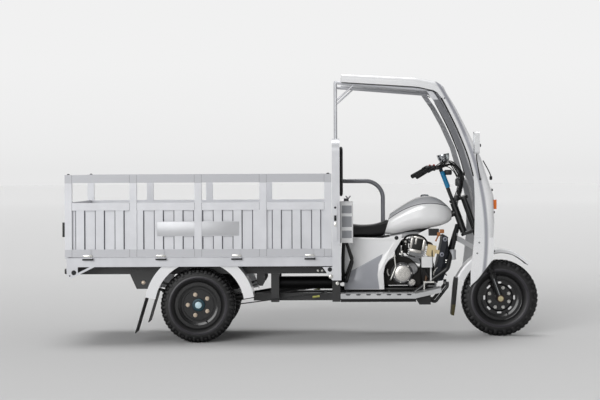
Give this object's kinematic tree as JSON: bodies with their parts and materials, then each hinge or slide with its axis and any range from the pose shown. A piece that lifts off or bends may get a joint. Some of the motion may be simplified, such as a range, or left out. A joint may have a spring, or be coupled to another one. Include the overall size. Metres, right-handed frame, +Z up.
{
  "type": "cargo motor tricycle with a front canopy and a drop-side load bed",
  "caption": "Silver cargo motor tricycle with a canopy over the rider, a ribbed drop-side load bed, steerable front wheel and opening gates.",
  "frame": {"origin": "on the floor under the middle of the vehicle's bounding box", "axes": "+X forward along the vehicle, +Y to its left, +Z up"},
  "size_m": [3.584, 1.3, 1.997],
  "materials": {
    "silver_paint": "gloss",
    "silver_plastic": "gloss",
    "black_steel": "satin",
    "black_rubber": "matte",
    "dark_plastic": "satin",
    "cast_aluminium": "satin",
    "chrome": "polished",
    "heat_brown_steel": "satin",
    "clear_glass": "gloss",
    "orange_lens": "gloss",
    "seat_vinyl": "matte",
    "white_plastic": "satin"
  },
  "bodies": {
    "chassis": {"ladder_frame": "black_steel", "lower_frame": "black_steel", "cradle_frame": "black_steel", "rear_axle": "black_steel", "leaf_springs": "black_steel", "propeller_shaft": "black_steel", "engine_crankcase": "cast_aluminium", "engine_cylinder": "cast_aluminium", "exhaust": "heat_brown_steel", "radiator": "dark_plastic", "coolant_bottle": "white_plastic", "electrics": "dark_plastic", "foot_controls": "black_steel", "brake_rods": "black_steel", "fuel_tank": "silver_paint", "seat": "seat_vinyl", "side_panels": "silver_plastic", "footboards": "black_steel", "reservoir": "cast_aluminium", "grab_rail": "silver_paint", "headboard": "silver_paint", "backrest_pad": "seat_vinyl", "bed_floor": "silver_paint", "rear_mudguards": "silver_paint", "rear_mud_flaps": "black_rubber", "tail_lamps": "orange_lens", "canopy_shell": "silver_plastic", "lower_shield": "silver_plastic", "windscreen": "clear_glass", "canopy_frame": "dark_plastic", "front_lamps": "orange_lens", "wiper": "dark_plastic", "mirrors": "dark_plastic"},
    "steering": {"fork": "black_steel", "handlebar": "black_steel", "grips": "black_rubber", "speedometer": "chrome", "control_cables": "black_rubber", "front_mudguard": "silver_plastic", "front_mud_flap": "black_rubber"},
    "front_wheel": {"front_tyre": "black_rubber", "front_rim": "black_steel"},
    "rear_wheel_right": {"rear_tyre_right": "black_rubber", "rear_rim_right": "black_steel"},
    "rear_wheel_left": {"rear_tyre_left": "black_rubber", "rear_rim_left": "black_steel"},
    "side_gate_right": {"side_gate_right": "silver_paint"},
    "side_gate_left": {"side_gate_left": "silver_paint"},
    "tailgate": {"tailgate": "silver_paint"}
  },
  "joints": [
    {"name": "steering", "type": "hinge", "parent": "chassis", "child": "steering", "pos_m": [1.22463, 0, 0.812], "axis": [-0.3338, 0, 0.9426], "range_deg": [-38, 38]},
    {"name": "front_wheel_spin", "type": "hinge", "parent": "steering", "child": "front_wheel", "pos_m": [1.5, 0, 0.292], "axis": [0, 1, 0], "continuous": true},
    {"name": "rear_wheel_right_spin", "type": "hinge", "parent": "chassis", "child": "rear_wheel_right", "pos_m": [-0.78, -0.45, 0.277], "axis": [0, 1, 0], "continuous": true},
    {"name": "rear_wheel_left_spin", "type": "hinge", "parent": "chassis", "child": "rear_wheel_left", "pos_m": [-0.78, 0.45, 0.277], "axis": [0, 1, 0], "continuous": true},
    {"name": "side_gate_right_hinge", "type": "hinge", "parent": "chassis", "child": "side_gate_right", "pos_m": [-0.7665, -0.64, 0.6352], "axis": [1, 0, 0], "range_deg": [0, 170]},
    {"name": "side_gate_left_hinge", "type": "hinge", "parent": "chassis", "child": "side_gate_left", "pos_m": [-0.7665, 0.64, 0.6352], "axis": [-1, 0, 0], "range_deg": [0, 170]},
    {"name": "tailgate_hinge", "type": "hinge", "parent": "chassis", "child": "tailgate", "pos_m": [-1.75, 0, 0.6352], "axis": [0, -1, 0], "range_deg": [0, 140]}
  ]
}
